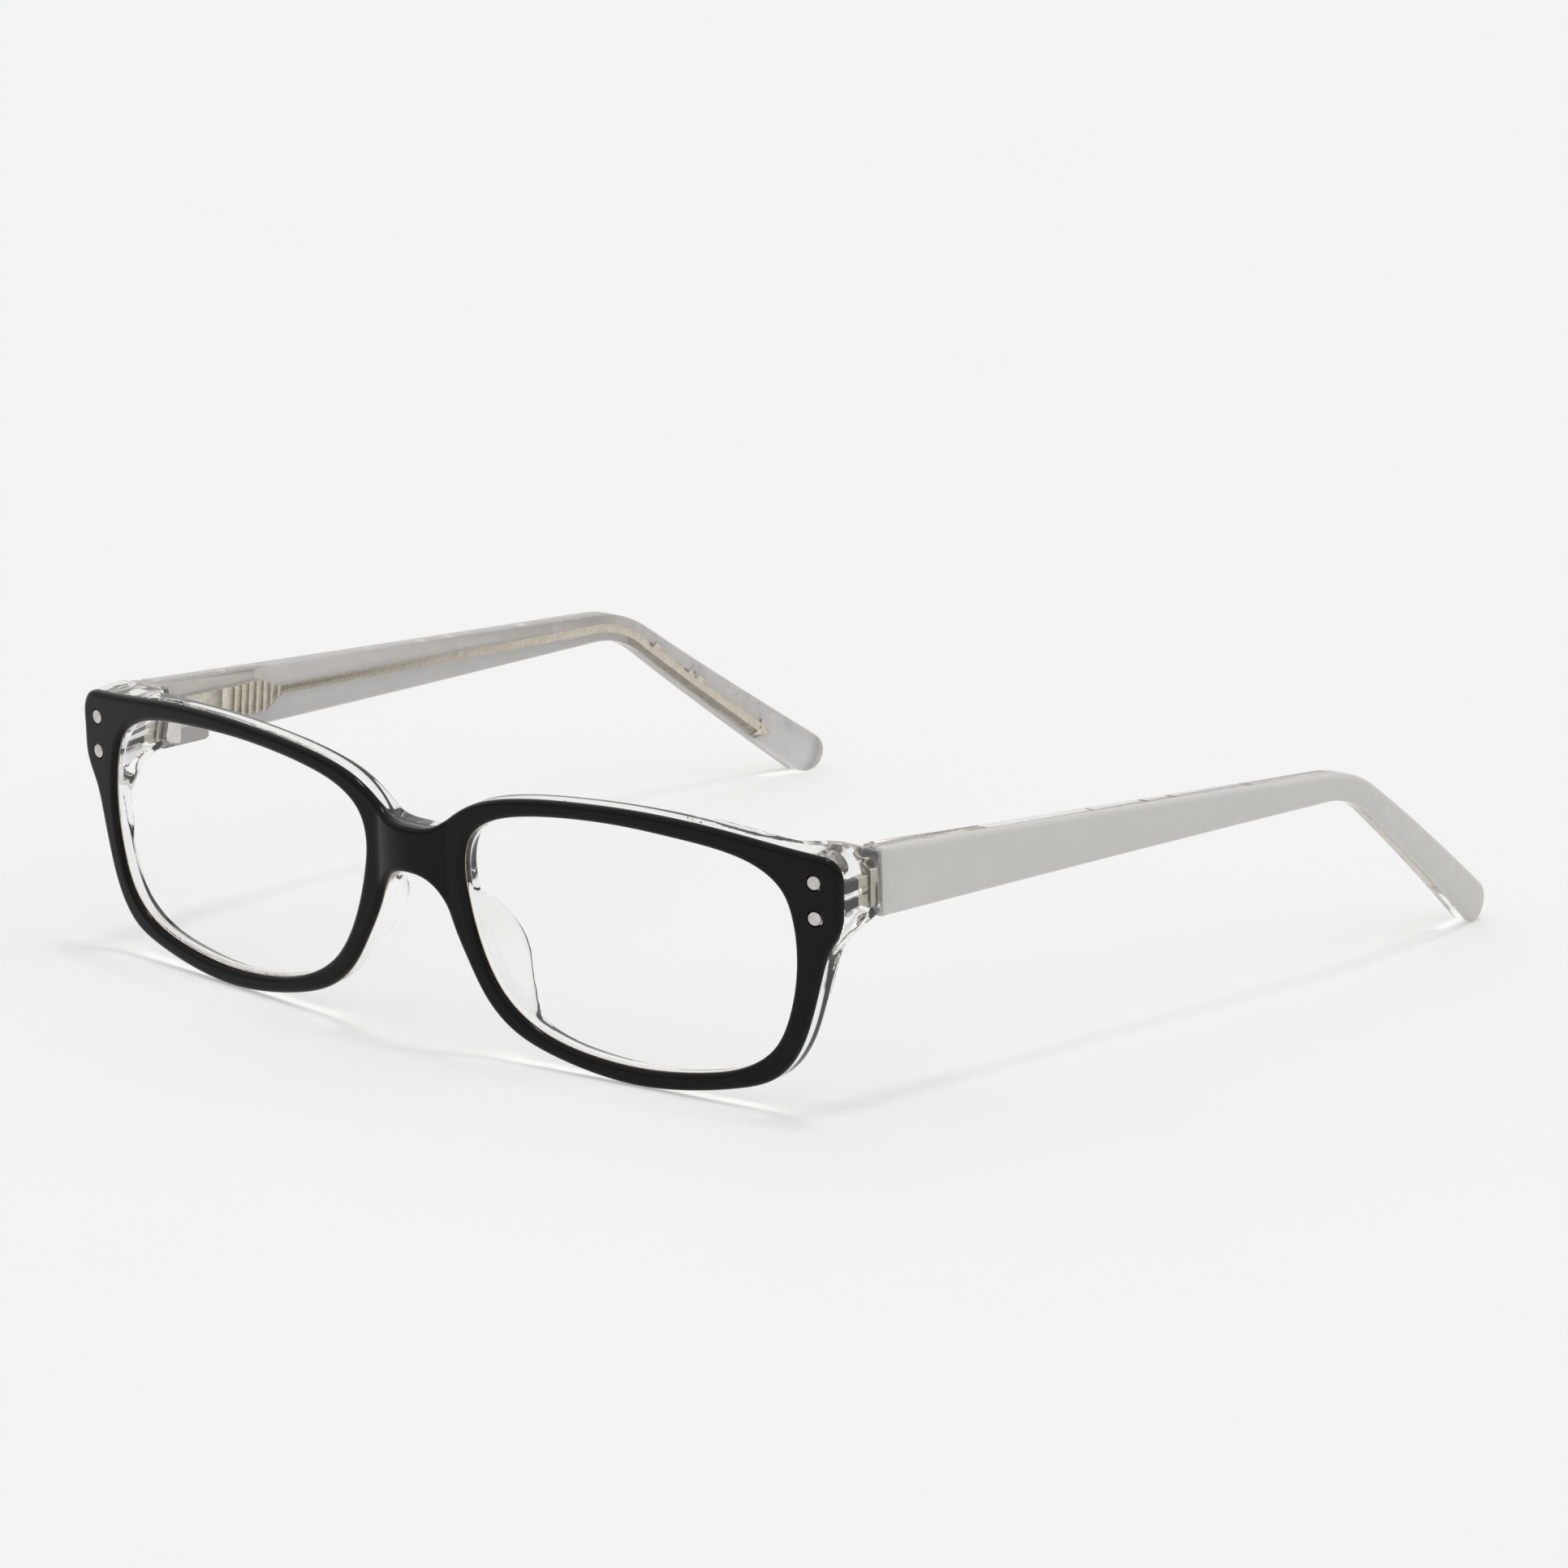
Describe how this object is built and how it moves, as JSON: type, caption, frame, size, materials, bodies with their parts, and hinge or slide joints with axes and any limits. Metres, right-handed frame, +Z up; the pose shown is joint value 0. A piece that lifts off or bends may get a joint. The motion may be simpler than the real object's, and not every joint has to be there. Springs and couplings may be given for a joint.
{
  "type": "eyeglasses frame",
  "caption": "Full-rim eyeglasses frame with a laminated black and clear front, riveted corners, fitted lenses, and white and clear temples on sprung hinges.",
  "frame": {"origin": "centre of the footprint, on the surface that the two lower rims and the two temple tips stand on", "axes": "+X to the right as seen from in front of the frame, which faces -Y, +Y from the front back along the temples, +Z up"},
  "size_m": [0.1332, 0.1644, 0.0389],
  "materials": {
    "black_acetate": "polished black acetate",
    "clear_acetate": "polished clear acetate",
    "demo_lens": "clear lens, polished on both faces",
    "white_acetate": "polished off-white acetate",
    "rivet_steel": "satin pin heads, set flush",
    "hinge_nickel_silver": "tumbled nickel silver",
    "screw_steel": "turned steel, slotted head",
    "spring_steel": "bright spring wire",
    "spring_box_gold": "polished pale gold plate",
    "core_wire_gold": "bright drawn wire with a ribbed head"
  },
  "bodies": {
    "front": {"front_black_layer": "black_acetate", "front_clear_layer": "clear_acetate", "nose_pad_left": "clear_acetate", "nose_pad_right": "clear_acetate", "lens_left": "demo_lens", "lens_right": "demo_lens", "front_rivets_left": "rivet_steel", "front_rivets_right": "rivet_steel", "hinge_front_left": "hinge_nickel_silver", "hinge_front_right": "hinge_nickel_silver", "hinge_screw_left": "screw_steel", "hinge_screw_right": "screw_steel"},
    "hinge_slider_left_body": {"hinge_slider_left": "hinge_nickel_silver"},
    "hinge_slider_right_body": {"hinge_slider_right": "hinge_nickel_silver"},
    "temple_left": {"hinge_spring_left": "spring_steel", "spring_box_left": "spring_box_gold", "core_wire_left": "core_wire_gold", "temple_clear_layer_left": "clear_acetate", "temple_white_layer_left": "white_acetate"},
    "temple_right": {"hinge_spring_right": "spring_steel", "spring_box_right": "spring_box_gold", "core_wire_right": "core_wire_gold", "temple_clear_layer_right": "clear_acetate", "temple_white_layer_right": "white_acetate"}
  },
  "joints": [
    {"name": "temple_fold_left", "type": "hinge", "parent": "front", "child": "hinge_slider_left_body", "pos_m": [-0.0599, -0.06091, 0.03023], "axis": [0, 0.1011, -0.9949], "range_deg": [0, 90]},
    {"name": "temple_spring_left", "type": "slide", "parent": "hinge_slider_left_body", "child": "temple_left", "axis": [0, 1, 0], "range_m": [0, 0.0012], "stiffness_N_per_m": 2500, "springref_m": -0.0006, "deforming": ["hinge_spring_left"]},
    {"name": "temple_fold_right", "type": "hinge", "parent": "front", "child": "hinge_slider_right_body", "pos_m": [0.0599, -0.06091, 0.03023], "axis": [0, -0.1011, 0.9949], "range_deg": [0, 80]},
    {"name": "temple_spring_right", "type": "slide", "parent": "hinge_slider_right_body", "child": "temple_right", "axis": [0, 1, 0], "range_m": [0, 0.0012], "stiffness_N_per_m": 2500, "springref_m": -0.0006, "deforming": ["hinge_spring_right"]}
  ]
}
